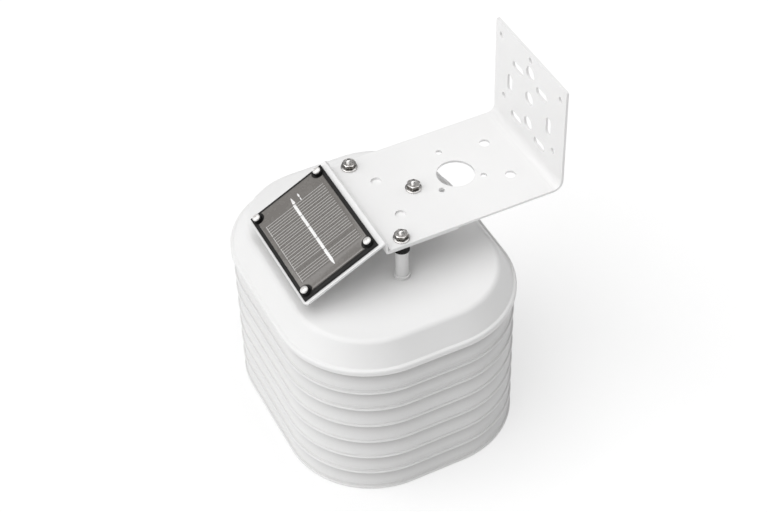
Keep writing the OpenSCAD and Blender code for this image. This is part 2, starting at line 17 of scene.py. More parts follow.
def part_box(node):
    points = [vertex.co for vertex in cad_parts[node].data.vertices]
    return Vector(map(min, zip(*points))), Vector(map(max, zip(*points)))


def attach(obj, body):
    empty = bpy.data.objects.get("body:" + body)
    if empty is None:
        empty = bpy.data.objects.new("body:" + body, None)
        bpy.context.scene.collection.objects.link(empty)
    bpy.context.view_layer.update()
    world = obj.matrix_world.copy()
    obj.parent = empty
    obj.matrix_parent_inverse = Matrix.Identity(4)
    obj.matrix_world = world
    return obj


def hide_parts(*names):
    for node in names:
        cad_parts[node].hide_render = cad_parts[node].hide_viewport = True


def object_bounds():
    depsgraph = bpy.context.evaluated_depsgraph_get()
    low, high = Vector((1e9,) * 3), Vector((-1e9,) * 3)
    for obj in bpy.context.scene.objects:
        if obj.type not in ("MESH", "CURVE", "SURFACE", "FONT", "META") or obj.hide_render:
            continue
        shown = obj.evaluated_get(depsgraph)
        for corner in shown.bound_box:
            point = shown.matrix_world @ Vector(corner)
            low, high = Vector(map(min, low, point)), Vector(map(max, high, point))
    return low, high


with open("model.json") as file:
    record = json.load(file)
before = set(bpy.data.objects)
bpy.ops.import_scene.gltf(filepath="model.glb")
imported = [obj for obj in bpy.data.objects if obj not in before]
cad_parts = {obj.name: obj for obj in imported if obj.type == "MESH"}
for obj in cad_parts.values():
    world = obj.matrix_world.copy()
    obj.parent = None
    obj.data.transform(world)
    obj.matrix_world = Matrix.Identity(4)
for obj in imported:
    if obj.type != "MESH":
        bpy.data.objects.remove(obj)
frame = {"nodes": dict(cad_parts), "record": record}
cad_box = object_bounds()

MM = 0.001
MOUNTS = {m["name"]: m for m in frame["record"]["mounts"]}
SLOTS = {s["node"]: s["material_slot"] for s in frame["record"]["subparts"]}


# ---------------------------------------------------------------- places, from the frame

def box_mm(node):
    """Lowest and highest corner of a CAD node, in millimetres."""
    low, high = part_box(node)
    return low / MM, high / MM


def slope_matrix():
    """The cells' own frame in millimetres: X across, Y up the slope, Z out of the face."""
    mesh = frame["nodes"]["solar_cells"].data
    top = max(mesh.polygons, key=lambda p: p.area if p.normal.z > 0.5 else 0)
    out = top.normal.normalized()
    across = Vector((1, 0, 0))
    low, high = box_mm("solar_cells")
    height = max(v.co.dot(out) for v in mesh.vertices) / MM
    middle = (low + high) / 2
    middle += out * (height - middle.dot(out))
    rotation = Matrix((across, out.cross(across), out)).transposed().to_4x4()
    return Matrix.Translation(middle) @ rotation


def node_islands(node):
    """The boxes of a node's separate solids, in millimetres, as (low, high) pairs in order of X, then Y."""
    mesh = bmesh.new()
    mesh.from_mesh(frame["nodes"][node].data)
    bmesh.ops.remove_doubles(mesh, verts=mesh.verts, dist=1e-6)
    left = set(mesh.verts)
    boxes = []
    while left:
        stack = [left.pop()]
        points = []
        while stack:
            vert = stack.pop()
            points.append(vert.co / MM)
            for edge in vert.link_edges:
                other = edge.other_vert(vert)
                if other in left:
                    left.remove(other)
                    stack.append(other)
        low = Vector(min(p[i] for p in points) for i in range(3))
        high = Vector(max(p[i] for p in points) for i in range(3))
        boxes.append((low, high))
    mesh.free()
    return sorted(boxes, key=lambda b: (round(b[0].x, 1), round(b[0].y, 1)))


SLOPE = slope_matrix()


# ---------------------------------------------------------------- material kit

class Surface:
    """A Principled material. Lengths given to it are in millimetres of the object itself."""

    def __init__(self, name, **values):
        self.material = bpy.data.materials.new(name)
        self.material.use_nodes = True
        self.tree = self.material.node_tree
        self.tree.nodes.clear()
        self.shader = self.node("ShaderNodeBsdfPrincipled")
        output = self.node("ShaderNodeOutputMaterial")
        self.tree.links.new(self.shader.outputs[0], output.inputs["Surface"])
        self.place = self.node("ShaderNodeTexCoord").outputs["Object"]
        self.geometry = self.node("ShaderNodeNewGeometry")
        self.set(**values)

    def node(self, kind, settings=None, **inputs):
        """Adds a node. An input is named, with underscores for spaces, or numbered, as in _0."""
        made = self.tree.nodes.new(kind)
        for key, value in (settings or {}).items():
            setattr(made, key, value)
        self.fill(made, inputs)
        return made

    def fill(self, node, inputs):
        """Sets or links a node's inputs, by name with underscores for spaces, or by number as _0, _1."""
        for key, value in inputs.items():
            socket = node.inputs[int(key[1:]) if key[1:].isdigit() else key.replace("_", " ")]
            if isinstance(value, bpy.types.NodeSocket):
                self.tree.links.new(value, socket)
            else:
                socket.default_value = value

    def set(self, **values):
        """Sets the shader's own sockets, by name with underscores for spaces."""
        self.fill(self.shader, values)

    def scaled(self, x, y, z):
        """The object's coordinates stretched by x, y and z, for grain that runs one way."""
        node = self.node("ShaderNodeMapping", Vector=self.place)
        node.inputs["Scale"].default_value = (x, y, z)
        return node.outputs[0]

    def noise(self, size, detail=2.0, rough=0.5, place=None):
        """Noise from 0 to 1 with blobs of about that size."""
        node = self.node("ShaderNodeTexNoise", Vector=place or self.place, Scale=1 / (size * MM))
        node.inputs["Detail"].default_value = detail
        node.inputs["Roughness"].default_value = rough
        return node.outputs["Fac"]

    def cells(self, size):
        """Distance from the nearest of scattered points about size apart, 0 at each point."""
        node = self.node("ShaderNodeTexVoronoi", Vector=self.place, Scale=1 / (size * MM))
        return node.outputs["Distance"]

    def span(self, value, low, high, to_low=0.0, to_high=1.0):
        """Carries low to high over to to_low to to_high, and holds the ends."""
        node = self.node("ShaderNodeMapRange", _0=value, _1=low, _2=high, _3=to_low, _4=to_high)
        return node.outputs[0]

    def mix(self, factor, a, b):
        """A colour between a and b."""
        return self.node("ShaderNodeMix", {"data_type": "RGBA"}, _0=factor, _6=a, _7=b).outputs[2]

    def times(self, a, b):
        """The product, held between 0 and 1."""
        node = self.node("ShaderNodeMath", {"operation": "MULTIPLY", "use_clamp": True}, _0=a, _1=b)
        return node.outputs[0]

    def edges(self, radius):
        """1 along edges sharper than the radius, 0 on flat ground."""
        rounded = self.node("ShaderNodeBevel", {"samples": 4}, Radius=radius * MM).outputs[0]
        dot = self.node("ShaderNodeVectorMath", {"operation": "DOT_PRODUCT"}, _0=rounded,
                        _1=self.geometry.outputs["Normal"])
        return self.span(dot.outputs["Value"], 0.995, 0.85)

    def facing_up(self):
        """The normal's Z: 1 on level ground, 0 on an upright wall."""
        return self.node("ShaderNodeSeparateXYZ", _0=self.geometry.outputs["Normal"]).outputs["Z"]

    def overhang_shade(self, reach):
        """Mask for painted shade: 1 deep under an overhang within reach, 0 where the sky above a face is
        open.
        """
        leaning = self.node("ShaderNodeVectorMath", {"operation": "ADD"},
                            _0=self.geometry.outputs["Normal"], _1=(0, 0, 1))
        upward = self.node("ShaderNodeVectorMath", {"operation": "NORMALIZE"}, _0=leaning.outputs[0])
        sky = self.node("ShaderNodeAmbientOcclusion", {"samples": 16}, Distance=reach * MM,
                        Normal=upward.outputs[0])
        return self.span(sky.outputs["AO"], 0.92, 0.35)

    def bump(self, height, depth, under=None):
        """Bump of that depth, on top of another bump if one is given."""
        node = self.node("ShaderNodeBump", Height=height, Distance=depth * MM, Strength=1.0)
        if under is not None:
            self.tree.links.new(under, node.inputs["Normal"])
        return node.outputs[0]


def grey(value, warmth=0.0):
    """A colour near grey, a little warmer where warmth is above 0."""
    return (value * (1 + warmth), value, value * (1 - warmth), 1.0)


# ---------------------------------------------------------------- materials

def powder_coat():
    """Satin white powder coat: orange peel, faint mottling, thinner and brighter along edges."""
    s = Surface("powder_coat", Coat_Weight=0.15, Coat_Roughness=0.25)
    tone = s.mix(s.noise(34, 3), grey(0.815, 0.004), grey(0.845, 0.002))
    specks = s.span(s.noise(1.1, 2), 0.74, 0.80)
    tone = s.mix(s.times(specks, 0.35), tone, grey(0.55, 0.02))
    s.set(Base_Color=s.mix(s.times(s.edges(0.6), 0.5), tone, grey(0.88)))
    s.set(Roughness=s.span(s.noise(6, 3), 0.3, 0.7, 0.36, 0.5))
    peel = s.bump(s.noise(1.6, 1), 0.02)
    s.set(Normal=s.bump(s.noise(0.35, 2), 0.004, under=peel))
    return s.material


def moulded_white(name, light, dark, roughness, shade):
    """Satin white moulding: fine spark texture, slow change of tone and specks of dust. Painted shade
    darkens its colour under overhangs by the share shade, which deepens the lines below the louvres' lips."""
    s = Surface(name)
    tone = s.mix(s.noise(45, 3), grey(dark, 0.003), grey(light, 0.002))
    dust = s.times(s.span(s.noise(3.5, 5, 0.65), 0.52, 0.8), 0.05)
    tone = s.mix(dust, tone, grey(0.62, 0.02))
    # painted shade: the colour darkens towards grey 0.36 under overhangs, by the share shade
    s.set(Base_Color=s.mix(s.times(s.overhang_shade(18), shade), tone, grey(0.36, 0.02)))
    s.set(Roughness=s.span(s.noise(9, 3), 0.3, 0.7, roughness - 0.05, roughness + 0.07))
    sag = s.bump(s.noise(18, 1), 0.06)
    s.set(Normal=s.bump(s.noise(0.45, 2), 0.006, under=sag))
    return s.material


def black_board():
    """Black circuit board: fine glass weave under a semi-matt mask, with painted shade that keeps the faces
    which don't look up near black.
    """
    s = Surface("black_board", Specular_IOR_Level=0.3)
    weave = s.node("ShaderNodeTexWave", Vector=s.place, Scale=1 / (0.9 * MM)).outputs["Fac"]
    mask = s.mix(s.noise(4, 3), grey(0.009, 0.03), grey(0.014, 0.03))
    # painted shade: faces that don't look up are near black, faces that look up take the mask's tone
    tone = s.mix(s.span(s.facing_up(), 0.55, 0.8), grey(0.003), mask)
    s.set(Base_Color=s.mix(s.times(s.edges(0.15), 0.2), tone, grey(0.04)))
    s.set(Roughness=s.span(s.noise(3, 3), 0.3, 0.7, 0.38, 0.5), Normal=s.bump(weave, 0.008))
    return s.material


def resin():
    """Grey-brown cast resin over the cells: clear gloss, faint clouds, tiny bubbles and dust."""
    s = Surface("resin", Coat_Weight=0.6, Coat_Roughness=0.06)
    tone = s.mix(s.noise(14, 3), grey(0.150, 0.065), grey(0.170, 0.06))
    bubbles = s.span(s.cells(1.7), 0.09, 0.05)
    tone = s.mix(s.times(bubbles, 0.3), tone, grey(0.35, 0.02))
    s.set(Base_Color=tone, Roughness=s.span(s.noise(5, 4), 0.3, 0.7, 0.2, 0.32))
    s.set(Normal=s.bump(s.noise(7, 2), 0.03))
    return s.material


def silicon():
    """Solar cell: grey-brown silicon with a fine etched grain across the fingers."""
    s = Surface("silicon", Coat_Weight=0.6, Coat_Roughness=0.08)
    grain = s.noise(0.5, 3, 0.7, s.scaled(0.15, 1, 1))
    tone = s.mix(s.noise(9, 3), grey(0.132, 0.07), grey(0.148, 0.06))
    s.set(Base_Color=s.mix(s.span(grain, 0.35, 0.75), tone, grey(0.155, 0.06)))
    s.set(Roughness=s.span(grain, 0.3, 0.7, 0.24, 0.32), Normal=s.bump(grain, 0.002))
    return s.material


def printed_silver():
    """Screen-printed silver: matt, granular, with thin spots."""
    s = Surface("printed_silver", Metallic=0.2)
    grain = s.noise(0.35, 3, 0.7)
    s.set(Base_Color=s.mix(s.span(grain, 0.3, 0.7), grey(0.52, 0.02), grey(0.62, 0.015)))
    s.set(Roughness=s.span(grain, 0.3, 0.7, 0.35, 0.5), Normal=s.bump(grain, 0.01))
    return s.material


def tinned():
    """Tinned copper ribbon: bright, dimpled solder with dull patches."""
    s = Surface("tinned", Metallic=0.55)
    flow = s.noise(1.4, 3, 0.6)
    s.set(Base_Color=s.mix(s.span(flow, 0.3, 0.75), grey(0.98), grey(0.85, 0.01)))
    s.set(Roughness=s.span(s.noise(0.7, 2), 0.3, 0.7, 0.35, 0.55), Normal=s.bump(flow, 0.06))
    return s.material


def machined(name, tone, roughness, grain_size, warmth=0.015, metallic=1.0):
    """Bright metal with fine turning marks, smudges and rubbed edges."""
    s = Surface(name, Metallic=metallic)
    marks = s.noise(grain_size, 2, 0.6, s.scaled(1, 1, 5))
    smudge = s.noise(2.6, 4, 0.6)
    body = s.mix(s.span(smudge, 0.3, 0.7), grey(tone * 0.86, warmth), grey(tone, warmth))
    rubbed = grey(min(1.0, tone * 1.25), warmth)
    s.set(Base_Color=s.mix(s.times(s.edges(0.25), 0.6), body, rubbed))
    s.set(Roughness=s.span(smudge, 0.3, 0.7, roughness, roughness + 0.1), Normal=s.bump(marks, 0.006))
    return s.material


def nut_steel():
    """Nut steel: stained brown-grey flanks painted dark as shade, and faces that look up painted bright as
    a highlight.
    """
    s = Surface("nut_steel", Metallic=1.0)
    stain = s.noise(1.8, 4, 0.6)
    # painted shade and painted highlight: the flanks are dark, faces that look up are bright
    shaded_flank = s.mix(s.span(stain, 0.35, 0.7), grey(0.05, 0.12), grey(0.26, 0.06))
    body = s.mix(s.span(s.facing_up(), 0.25, 0.8), shaded_flank, grey(0.62, 0.03))
    s.set(Base_Color=s.mix(s.times(s.edges(0.3), 0.8), body, grey(0.9, 0.01)))
    s.set(Roughness=s.span(stain, 0.3, 0.7, 0.2, 0.34), Normal=s.bump(s.noise(0.4, 2), 0.004))
    return s.material


def black_rubber():
    """Matt black rubber with bloom and a fine moulded grain."""
    s = Surface("black_rubber", Specular_IOR_Level=0.2)
    bloom = s.span(s.noise(2.2, 4, 0.6), 0.45, 0.8)
    s.set(Base_Color=s.mix(bloom, grey(0.004), grey(0.014)), Roughness=s.span(bloom, 0, 1, 0.6, 0.8))
    s.set(Normal=s.bump(s.noise(0.3, 3), 0.015))
    return s.material


def dark_plastic():
    """Black glass-filled moulding: faint flow streaks and rubbed edges."""
    s = Surface("dark_plastic")
    streak = s.noise(2.5, 4, 0.6, s.scaled(1, 1, 0.4))
    tone = s.mix(s.span(streak, 0.35, 0.75), grey(0.022), grey(0.038))
    s.set(Base_Color=s.mix(s.times(s.edges(0.35), 0.5), tone, grey(0.1)))
    s.set(Roughness=s.span(streak, 0.3, 0.7, 0.42, 0.56), Normal=s.bump(s.noise(0.4, 2), 0.01))
    return s.material


def green_board():
    """Green solder mask with faint copper runs showing through."""
    s = Surface("green_board", Coat_Weight=0.4, Coat_Roughness=0.15)
    runs = s.node("ShaderNodeTexBrick", Vector=s.scaled(1, 0, 1), Scale=1 / (3.2 * MM)).outputs["Fac"]
    s.set(Base_Color=s.mix(runs, (0.012, 0.11, 0.045, 1), (0.02, 0.17, 0.07, 1)))
    s.set(Roughness=s.span(s.noise(2, 3), 0.3, 0.7, 0.25, 0.4), Normal=s.bump(runs, 0.03))
    return s.material


def filter_cap():
    """Sintered filter: packed grains with dark pores."""
    s = Surface("filter_cap")
    grains = s.cells(0.5)
    s.set(Base_Color=s.mix(s.span(grains, 0.1, 0.8), grey(0.72, 0.01), grey(0.38, 0.02)))
    s.set(Roughness=0.8, Normal=s.bump(grains, -0.1))
    return s.material


def floor_paper():
    """Plain pale studio paper on a light table, which keeps its shadows faint."""
    s = Surface("floor_paper", Roughness=0.9, Emission_Color=grey(1.0), Emission_Strength=0.5)
    s.set(Base_Color=s.mix(s.noise(160, 2), grey(0.49), grey(0.51)))
    s.set(Normal=s.bump(s.noise(1.5, 2), 0.01))
    return s.material


MATERIALS = {
    "white_paint": powder_coat(),
    # shade is the share of painted shade that darkens each moulding under overhangs
    "white_plastic": moulded_white("white_plastic", light=0.80, dark=0.775, roughness=0.42, shade=0.56),
    "white_nylon": moulded_white("white_nylon", light=0.80, dark=0.77, roughness=0.36, shade=0.1),
    "black_board": black_board(),
    "laminate": resin(),
    "silicon": silicon(),
    "ribbon_metal": tinned(),
    "bright_steel": machined("bright_steel", tone=0.9, roughness=0.3, grain_size=0.5, metallic=0.45),
    "stainless": machined("stainless", tone=0.72, roughness=0.22, grain_size=0.4, warmth=0.02),
    "black_rubber": black_rubber(),
    "dark_plastic": dark_plastic(),
    "green_board": green_board(),
    "filter_cap": filter_cap(),
    "motor_can": machined("motor_can", tone=0.62, roughness=0.28, grain_size=0.8),
}
SILVER = printed_silver()
NUT_STEEL = nut_steel()


def dress_frame():
    """Every CAD node takes its slot's material, and sheet and moulded edges are rounded a little."""
    rounding = {"white_paint": 0.35, "black_board": 0.15, "dark_plastic": 0.25, "green_board": 0.12}
    for name, node in frame["nodes"].items():
        node.data.materials[0] = MATERIALS[SLOTS[name]]
        width = rounding.get(SLOTS[name])
        if width:
            round_edges(node, width)


def round_edges(piece, width, angle=35, segments=3):
    """Joins split vertices and rounds the edges sharper than the angle."""
    weld = piece.modifiers.new("weld", "WELD")
    weld.merge_threshold = 1e-6
    bevel = piece.modifiers.new("bevel", "BEVEL")
    bevel.width = width * MM
    bevel.segments = segments
    bevel.limit_method = "ANGLE"
    bevel.angle_limit = math.radians(angle)
    bevel.harden_normals = True
    bevel.use_clamp_overlap = True


# ---------------------------------------------------------------- mesh kit

def add_piece(name, mesh, slot, body="shield", material=None, smooth=35):
    """Makes an object of a bmesh in millimetres, gives it a material and lets it ride on a body."""
    bmesh.ops.scale(mesh, vec=(MM, MM, MM), verts=mesh.verts)
    bmesh.ops.recalc_face_normals(mesh, faces=mesh.faces)
    data = bpy.data.meshes.new(name)
    mesh.to_mesh(data)
    mesh.free()
    piece = bpy.data.objects.new(name, data)
    bpy.context.scene.collection.objects.link(piece)
    data.materials.append(material or MATERIALS[slot])
    shade(data, smooth)
    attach(piece, body)
    return piece


def shade(data, angle):
    """Smooth shading with sharp edges where faces meet at more than the angle."""
    data.polygons.foreach_set("use_smooth", [True] * len(data.polygons))
    data.set_sharp_from_angle(angle=math.radians(angle))


def skin_rings(mesh, rings, place=Matrix.Identity(4), loop=False):
    """Joins rings of points, all of the same count, into a skin. Its ends are capped, or joined if loop."""
    rows = [[mesh.verts.new(place @ Vector(p)) for p in ring] for ring in rings]
    count = len(rows[0])
    pairs = list(zip(rows, rows[1:]))
    if loop:
        pairs.append((rows[-1], rows[0]))
    else:
        mesh.faces.new(rows[0][::-1])
        mesh.faces.new(rows[-1])
    for a, b in pairs:
        for k in range(count):
            n = (k + 1) % count
            mesh.faces.new((a[k], a[n], b[n], b[k]))


def polar_rings(levels, segments):
    """Rings about Z. Each level is a function of the angle that gives (radius, height)."""
    rings = []
    for level in levels:
        ring = []
        for k in range(segments):
            turn = 2 * math.pi * k / segments
            radius, height = level(turn)
            ring.append((radius * math.cos(turn), radius * math.sin(turn), height))
        rings.append(ring)
    return rings


def round_level(radius, height):
    """A plain round ring."""
    return lambda turn: (radius, height)


def lathe(mesh, profile, place=Matrix.Identity(4), segments=40, loop=False):
    """Turns a profile of (radius, height) points about Z."""
    skin_rings(mesh, polar_rings([round_level(r, z) for r, z in profile], segments), place, loop)


def arc_points(centre, radius, start, end, steps):
    """Points on an arc, angles in degrees."""
    points = []
    for k in range(steps + 1):
        turn = math.radians(start + (end - start) * k / steps)
        points.append((centre[0] + radius * math.cos(turn), centre[1] + radius * math.sin(turn)))
    return points


def slab(mesh, outline, low, high, edge, place=Matrix.Identity(4), steps=3):
    """A plate whose upper edge is rounded inwards, on an outline that runs anticlockwise."""
    rings = [[(x, y, low) for x, y in outline]]
    for k in range(steps + 1):
        turn = math.pi / 2 * k / steps
        inset = edge * (1 - math.cos(turn))
        height = high - edge + edge * math.sin(turn)
        rings.append([(x, y, height) for x, y in inset_outline(outline, inset)])
    skin_rings(mesh, rings, place)


def inset_outline(outline, inset):
    """Moves each corner of an outline inwards, along the mean of its two edges' normals."""
    moved = []
    count = len(outline)
    for k, (x, y) in enumerate(outline):
        before = Vector(outline[k - 1])
        here = Vector((x, y))
        after = Vector(outline[(k + 1) % count])
        first = (here - before).normalized()
        second = (after - here).normalized()
        normal = Vector((-first.y - second.y, first.x + second.x))
        normal.normalize()
        reach = inset / max(0.5, normal.dot(Vector((-first.y, first.x))))
        moved.append((x + normal.x * reach, y + normal.y * reach))
    return moved


def at(x, y, z, turn=0.0):
    """A place in the frame, turned about Z by degrees."""
    return Matrix.Translation((x, y, z)) @ Matrix.Rotation(math.radians(turn), 4, "Z")


# ---------------------------------------------------------------- hanging hardware

def thread_level(radius, depth, pitch, height):
    """A ring of a screw thread: the crest moves up by one pitch in a turn."""
    crest_flat = 1.35

    def level(turn):
        wave = (height / pitch - turn / (2 * math.pi)) % 1.0
        tooth = abs(2 * wave - 1)
        return radius - depth * (1 - min(1.0, crest_flat * tooth)), height
    return level


def threaded_end(low, high, radius, pitch, chamfer_low, chamfer_high):
    """Levels of a threaded stretch, with a chamfer at an end where one is asked for."""
    depth = 0.42
    rows = 7
    count = int((high - low) / pitch * rows)
    levels = []
    for k in range(count + 1):
        height = low + (high - low) * k / count
        limit = radius
        if chamfer_low:
            limit = min(limit, radius - chamfer_low + (height - low))
        if chamfer_high:
            limit = min(limit, radius - chamfer_high + (high - height))
        base = thread_level(radius, depth, pitch, height)
        levels.append(lambda turn, base=base, limit=limit: (min(base(turn)[0], limit), base(turn)[1]))
    return levels


def hanger_studs():
    """Long studs, threaded at both ends and plain between."""
    pitch = 0.8
    thread_l = 15
    run_out = 0.5
    chamfer = 0.9
    for number, (low, high) in enumerate(node_islands("hanger_studs"), 1):
        radius = (high.x - low.x) / 2
        levels = threaded_end(low.z, low.z + thread_l, radius, pitch, chamfer, 0)
        levels.append(round_level(radius, low.z + thread_l + run_out))
        levels.append(round_level(radius, high.z - thread_l - run_out))
        levels += threaded_end(high.z - thread_l, high.z, radius, pitch, 0, chamfer)
        mesh = bmesh.new()
        middle = (low + high) / 2
        skin_rings(mesh, polar_rings(levels, 36), at(middle.x, middle.y, 0))
        stud = add_piece(f"hanger_stud_{number}", mesh, "stainless", smooth=50)
        if number == 1:
            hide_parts("hanger_studs")


def hex_nut_levels(flat, bore, low, high):
    """Levels of a hexagon nut with the usual turned chamfers, in a closed loop round its section."""
    crown = 0.95 * flat / 2
    slope = math.tan(math.radians(28))
    bore_edge = 0.35

    def hexagon(turn):
        return flat / 2 / math.cos((turn % (math.pi / 3)) - math.pi / 6)

    def drop(turn):
        return max(0.0, hexagon(turn) - crown) * slope

    return [
        round_level(crown, low),
        lambda turn: (hexagon(turn), low + drop(turn)),
        lambda turn: (hexagon(turn), high - drop(turn)),
        round_level(crown, high),
        round_level(bore + bore_edge, high),
        round_level(bore, high - bore_edge),
        round_level(bore, low + bore_edge),
        round_level(bore + bore_edge, low),
    ]


def nuts(node, names, bore, turns):
    """Hexagon nuts in place of a CAD node's. The flats are taken from the CAD nut's box."""
    for number, (low, high) in enumerate(node_islands(node), 1):
        middle = (low + high) / 2
        flat = high.y - low.y
        mesh = bmesh.new()
        levels = hex_nut_levels(flat, bore, low.z, high.z)
        turn = turns[(number - 1) % len(turns)]
        skin_rings(mesh, polar_rings(levels, 72), at(middle.x, middle.y, 0, turn), loop=True)
        nut = add_piece(f"{names}_{number}", mesh, "stainless", material=NUT_STEEL, smooth=28)
        if number == 1:
            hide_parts(node)


def washers(node, names, bore):
    """Turned washers with broken edges."""
    edge = 0.22
    for number, (low, high) in enumerate(node_islands(node), 1):
        middle = (low + high) / 2
        radius = (high.x - low.x) / 2
        profile = [(bore, low.z), (radius - edge, low.z), (radius, low.z + edge), (radius, high.z - edge),
                   (radius - edge, high.z), (bore + edge, high.z), (bore, high.z - edge)]
        mesh = bmesh.new()
        lathe(mesh, profile, at(middle.x, middle.y, 0), 64, loop=True)
        washer = add_piece(f"{names}_{number}", mesh, "stainless", smooth=50)
        if number == 1:
            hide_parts(node)


# ---------------------------------------------------------------- solar panel

def cell_spans():
    """Left and right edge of each cell, in the slope's frame."""
    spans = []
    for low, high in node_islands("solar_cells"):
        spans.append((low.x - SLOPE.translation.x, high.x - SLOPE.translation.x))
    return spans


def cell_length():
    """Length of the cells down the slope."""
    inverse = SLOPE.inverted()
    heights = [(inverse @ (v.co / MM)).y for v in frame["nodes"]["solar_cells"].data.vertices]
    return max(heights) - min(heights)


def strip(mesh, left, right, low, high, base, top):
    """A thin flat bar on the slope."""
    rings = [[(left, low, level), (right, low, level), (right, high, level), (left, high, level)]
             for level in (base, top)]
    skin_rings(mesh, rings, SLOPE)


def cell_fingers():
    """Thin printed lines down each cell, and one collecting line across its lower end."""
    first, pitch, width = 0.9, 2.58, 0.42
    per_cell = 5
    print_h, sunk = 0.05, 0.01
    half = cell_length() / 2 - 0.5
    line_inset = 0.3
    line_low, line_high = -half + 0.2, -half + 0.65
    mesh = bmesh.new()
    spans = cell_spans()
    for number, (left, right) in enumerate(spans):
        skipped = 1 if number == len(spans) - 1 else 0
        for k in range(skipped, per_cell):
            x = left + first + k * pitch
            strip(mesh, x - width / 2, x + width / 2, -half, half, -sunk, print_h)
        strip(mesh, left + line_inset, right - line_inset, line_low, line_high, -sunk, print_h)
    add_piece("cell_fingers", mesh, "silicon", material=SILVER)


def blob_outline(left, right, width, taper_left, taper_right, seed):
    """The outline of a soldered ribbon: wavy long edges, with ends that taper where asked."""
    steps = 26
    blunt = 0.22
    wave_height, waves_per_mm, lower_wave = 0.14, 0.7, 0.6
    upper = []
    for k in range(steps + 1):
        x = left + (right - left) * k / steps
        room = 1.0
        if taper_left:
            room = min(room, blunt + (x - left) / taper_left)
        if taper_right:
            room = min(room, blunt + (right - x) / taper_right)
        upper.append((x, room, noise.noise(Vector((x * waves_per_mm, seed, 0))) * wave_height))
    top = [(x, width / 2 * room + wave) for x, room, wave in upper]
    bottom = [(x, -width / 2 * room + wave * lower_wave) for x, room, wave in upper]
    return bottom + top[::-1]


def solder_piece(name, left, right, width, across, height=0.32, taper_left=0.0, taper_right=0.0, seed=0.0):
    """One soldered ribbon or mark that lies on the cells, at a distance across up the slope."""
    sunk = 0.02
    outline = [(x, y + across) for x, y in blob_outline(left, right, width, taper_left, taper_right, seed)]
    mesh = bmesh.new()
    slab(mesh, outline, -sunk, height, min(0.2, height * 0.6), SLOPE)
    return add_piece(name, mesh, "ribbon_metal", smooth=60)


def ribbons():
    """The bus ribbon over each cell, the last drawn out to a point, and the solder beside the first."""
    spans = cell_spans()
    width = 2.4
    gap, tail, tail_taper = 0.1, 4.4, 6.0
    outer, mark_up = 7.4, 6.9
    for number, (left, right) in enumerate(spans, 1):
        last = number == len(spans)
        end = right + tail if last else right - gap
        ribbon = solder_piece(f"busbar_ribbon_{number}", left + gap, end, width, 0,
                              taper_right=tail_taper if last else 0.0, seed=number * 3.1)
        if number == 1:
            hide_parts("busbar_ribbons")
    edge = spans[0][0]
    solder_piece("end_tab", edge - outer, edge - 0.8, 2.4, 0.6, taper_left=6.5, seed=21.0)
    solder_piece("solder_mark", edge - outer, edge - 3.0, 1.5, mark_up, height=0.25,
                 taper_left=2.0, taper_right=2.0, seed=27.0)
    solder_piece("solder_trail", edge - 2.6, edge + 0.6, 0.8, mark_up, height=0.06,
                 taper_left=1.0, taper_right=1.5, seed=31.0)


def notched_outline(half_x, half_y, screws, notch):
    """A rectangle whose corners are cut by round notches about the screws, anticlockwise."""
    points = []
    for sign_x, sign_y, turn in ((1, 1, 0), (-1, 1, 90), (-1, -1, 180), (1, -1, 270)):
        centre = Vector((sign_x * screws[0], sign_y * screws[1]))
        reach_x = math.sqrt(notch ** 2 - (half_x - screws[0]) ** 2)
        reach_y = math.sqrt(notch ** 2 - (half_y - screws[1]) ** 2)
        on_side = Vector((sign_x * half_x, centre.y - sign_y * reach_x))
        on_end = Vector((centre.x - sign_x * reach_y, sign_y * half_y))
        start, end = (on_side, on_end) if turn in (0, 180) else (on_end, on_side)
        a = math.degrees(math.atan2(start.y - centre.y, start.x - centre.x))
        b = math.degrees(math.atan2(end.y - centre.y, end.x - centre.x))
        while b > a:
            b -= 360
        points += arc_points(centre, notch, a, b, 12)
    return points


def panel_resin():
    """The cast slab round the cells, with a soft edge and notches round the corner screws."""
    inverse = SLOPE.inverted()
    points = [inverse @ (v.co / MM) for v in frame["nodes"]["panel_laminate"].data.vertices]
    half_x = max(p.x for p in points) + SLOPE.translation.x
    half_y = (max(p.y for p in points) - min(p.y for p in points)) / 2
    thickness = max(p.z for p in points) - min(p.z for p in points)
    screws = screw_places()
    corner = (screws[-1].x, max(p.y for p in screws))
    notch, soft_edge = 5.4, 1.1
    below_cells = 0.03
    shift = Matrix.Translation((-SLOPE.translation.x, 0, 0))
    mesh = bmesh.new()
    outline = notched_outline(half_x, half_y, corner, notch)
    slab(mesh, outline, -thickness, -below_cells, soft_edge, SLOPE @ shift, steps=5)
    resin_slab = add_piece("panel_resin", mesh, "laminate", smooth=60)
    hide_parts("panel_laminate")


def screw_places():
    """Middle of each panel screw's head in the slope's frame, with X from the object's middle plane."""
    inverse = SLOPE.inverted()
    places = []
    for low, high in node_islands("panel_spacers"):
        middle = inverse @ ((low + high) / 2)
        places.append(Vector((middle.x + SLOPE.translation.x, middle.y, middle.z)))
    return places


def pan_head(mesh, radius, height, shank, length, place):
    """A domed head on a plain shank. Z = 0 is under the head."""
    steps = 6
    straight, tip_r = 0.42, 0.25
    profile = [(shank, -length), (shank, 0), (radius - 0.1, 0), (radius, 0.15), (radius, height * straight)]
    for k in range(1, steps + 1):
        turn = math.pi / 2 * k / steps
        reach = radius * (1 - k / steps) ** 0.55 if k < steps else tip_r
        profile.append((reach, height * (straight + (1 - straight) * math.sin(turn))))
    lathe(mesh, profile, place, 48)


def cross_cutter(width, reach, depth, place):
    """Two tapered bars that cut a cross recess into the face at Z = 0."""
    above, floor_share = 0.4, 0.35
    mesh = bmesh.new()
    for turn in (0, 90):
        spin = place @ Matrix.Rotation(math.radians(turn), 4, "Z")
        rings = []
        for level, share in ((-depth, floor_share), (above, 1.0)):
            x, y = reach / 2 * share, width / 2 * (0.6 + 0.4 * share)
            rings.append([(-x, -y, level), (x, -y, level), (x, y, level), (-x, y, level)])
        skin_rings(mesh, rings, spin)
    return mesh


